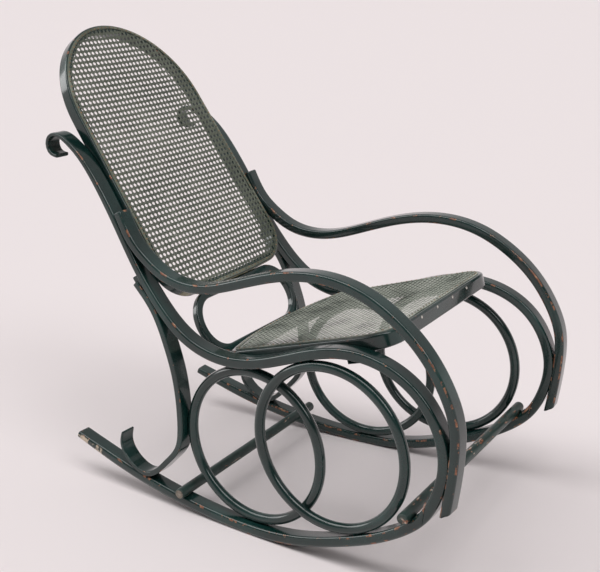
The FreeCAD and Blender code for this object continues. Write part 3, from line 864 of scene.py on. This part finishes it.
def border(name, outer, inner, plane, material, replaced, ridge_value):
    """Strip and pegs round one panel. The last argument goes evenly on the strip's ridge attribute: the
    lower it is, the more of the cane's dark shade colour the strip takes.
    """
    strip = flat_frame(even_outline(outer, 6 * mm), width=6 * mm, top=2.0 * mm, bottom=0,
                       round_top=0.7 * mm, round_bottom=0.2 * mm)
    ridge = strip.verts.layers.float.new("ridge")
    for vert in strip.verts:
        vert[ridge] = ridge_value
    finish_piece(name + "_strip", strip, plane, material, [replaced])
    loop = even_outline(inner, hole_pitch)
    middle_point = loop.mean(0)
    ahead = np.roll(loop, -1, axis=0) - np.roll(loop, 1, axis=0)
    outward = np.stack([ahead[:, 1], -ahead[:, 0]], axis=1) / np.hypot(*ahead.T)[:, None]
    outward *= np.sign(((loop - middle_point) * outward).sum(1))[:, None]
    bm = bmesh.new()
    for x, y in loop + outward * peg_set_out:
        bmesh.ops.create_cone(bm, cap_ends=True, segments=8, radius1=peg_radius, radius2=peg_top_radius,
                              depth=peg_depth, matrix=Matrix.Translation((x, y, peg_level)))
    finish_piece(name + "_pegs", bm, plane, peg_wood, [], smooth=False)


border("back_border", node_outline("back_binding", back_plane, 1.5 * mm), back_cane_edge, back_plane,
       back_cane_paint, "back_binding", 0.9)
border("seat_border", node_outline("seat_binding", seat_plane, 1.5 * mm), seat_cane_edge, seat_plane,
       seat_cane_paint, "seat_binding", 0.7)

# %% [markdown]
# Four tacks shine in the front of the seat's rim, where the paint has rubbed off their heads. A tack's
# head is a squashed ball, half sunk in the wood.

# %% Metal of the tacks
def make_tack_metal():
    material, tree, shader = new_material("bright tack heads")
    tone = add_noise(tree, 300, 3)
    metal = add_ramp(tree, tone, [(0.3, (0.55, 0.52, 0.45)), (0.7, (0.85, 0.83, 0.78))])
    tree.links.new(metal, shader.inputs["Base Color"])
    tree.links.new(add_fade(tree, tone, 0.3, 0.7, 0.22, 0.4), shader.inputs["Roughness"])
    shader.inputs["Metallic"].default_value = 1.0
    return material


# %% Tack heads
rim_front, tack_depth = -296 * mm, -8 * mm
squashed = Matrix.Diagonal((3.0 * mm, 1.1 * mm, 3.0 * mm, 1))
tacks = bmesh.new()
for x in (-107, -36, 36, 107):
    place = Matrix.Translation((x * mm, rim_front, tack_depth)) @ squashed
    bmesh.ops.create_uvsphere(tacks, u_segments=12, v_segments=8, radius=1, matrix=place)
finish_piece("tack_heads", tacks, seat_plane, make_tack_metal(), ["rim_tacks"])

# %% [markdown]
# The chair stands on pale paper that runs out of sight, and the paint mirrors it. A row of five broad,
# distant lamps, which arches over the chair from behind to in front, lights all of the paper evenly.
# Lamps that stand close would leave the far paper dark. The rounded edges of the straps and rings mirror
# the row as one thin bright line, however they bend.

# %% Floor
def make_floor():
    bm = bmesh.new()
    bmesh.ops.create_grid(bm, x_segments=1, y_segments=1, size=60)
    mesh = bpy.data.meshes.new("floor")
    bm.to_mesh(mesh)
    bm.free()
    floor = bpy.data.objects.new("floor", mesh)
    bpy.context.scene.collection.objects.link(floor)
    material, tree, shader = new_material("pale paper")
    shader.inputs["Base Color"].default_value = (0.82, 0.755, 0.76, 1)
    shader.inputs["Roughness"].default_value = 0.9
    shader.inputs["Specular IOR Level"].default_value = 0.1
    mesh.materials.append(material)


make_floor()

# %% Light
lamp_breadth, lamp_strength, lamp_side = 27, 0.58, -0.25


def add_lamp(name, toward_lamp):
    lamp = bpy.data.lights.new(name, "SUN")
    lamp.angle = math.radians(lamp_breadth)
    lamp.energy = lamp_strength
    lamp_object = bpy.data.objects.new(name, lamp)
    bpy.context.scene.collection.objects.link(lamp_object)
    lamp_object.rotation_euler = Vector(toward_lamp).to_track_quat("Z", "Y").to_euler()


for number, rise in enumerate((24, 50, 76, 104, 132)):
    arc = math.radians(rise)
    add_lamp(f"lamp {number + 1} of the row", (lamp_side, math.cos(arc), math.sin(arc)))

# %% [markdown]
# The room adds the rest of the light. It is brighter overhead and behind the chair than on the side where
# the photographer stands, as in a studio with its lamps on one side. Its strength stays at one. Above the
# far edge of the paper is a backdrop of nearly the same colour. The camera, the gloss and glass see it,
# and it adds nothing to the light that falls on the chair.

# %% Room
brighter_side = (0.62, 0.30, 0.72)
room_tones = [(0.2, (0.05, 0.048, 0.048)), (0.55, (0.16, 0.155, 0.155)), (0.85, (0.46, 0.445, 0.445))]
world = bpy.data.worlds.new("pale room")
bpy.context.scene.world = world
world.use_nodes = True
room = world.node_tree
direction_in = room.nodes.new("ShaderNodeTexCoord")
toward = room.nodes.new("ShaderNodeVectorMath")
toward.operation = "DOT_PRODUCT"
toward.inputs[1].default_value = brighter_side
room.links.new(direction_in.outputs["Generated"], toward.inputs[0])
brightness = add_ramp(room, add_math(room, "MULTIPLY_ADD", toward.outputs["Value"], 0.5), room_tones)

# %% Backdrop above the horizon
backdrop = (0.80, 0.74, 0.745)
height = room.nodes.new("ShaderNodeSeparateXYZ")
room.links.new(direction_in.outputs["Generated"], height.inputs[0])
low = add_fade(room, height.outputs["Z"], 0.16, 0.34, 1.0, 0.0)
ray = room.nodes.new("ShaderNodeLightPath").outputs
seen = add_math(room, "MAXIMUM", ray["Is Camera Ray"], ray["Is Glossy Ray"])
seen = add_math(room, "MAXIMUM", seen, ray["Is Transmission Ray"])
brightness = add_mix(room, add_math(room, "MULTIPLY", low, seen), brightness, backdrop)
background = room.nodes["Background"]
room.links.new(brightness, background.inputs["Color"])
background.inputs["Strength"].default_value = 1.0

# %% [markdown]
# The camera stands where the photographer stood. Its place and lens were worked out from the photograph,
# from the lines that run across the chair and from the round rings.

# %% Camera
looks_down, heading = math.radians(17.694), math.radians(31.515 - 90)
camera_data = bpy.data.cameras.new("camera")
camera_data.lens = 65.4
camera_data.sensor_width = 36
camera_data.clip_end = 200
camera = bpy.data.objects.new("camera", camera_data)
camera.location = (-1.9063, -1.1891, 1.1728)
camera.rotation_euler = (math.radians(90) - looks_down, 0, heading)
bpy.context.scene.collection.objects.link(camera)
bpy.context.scene.camera = camera
bpy.context.scene.view_settings.view_transform = "Standard"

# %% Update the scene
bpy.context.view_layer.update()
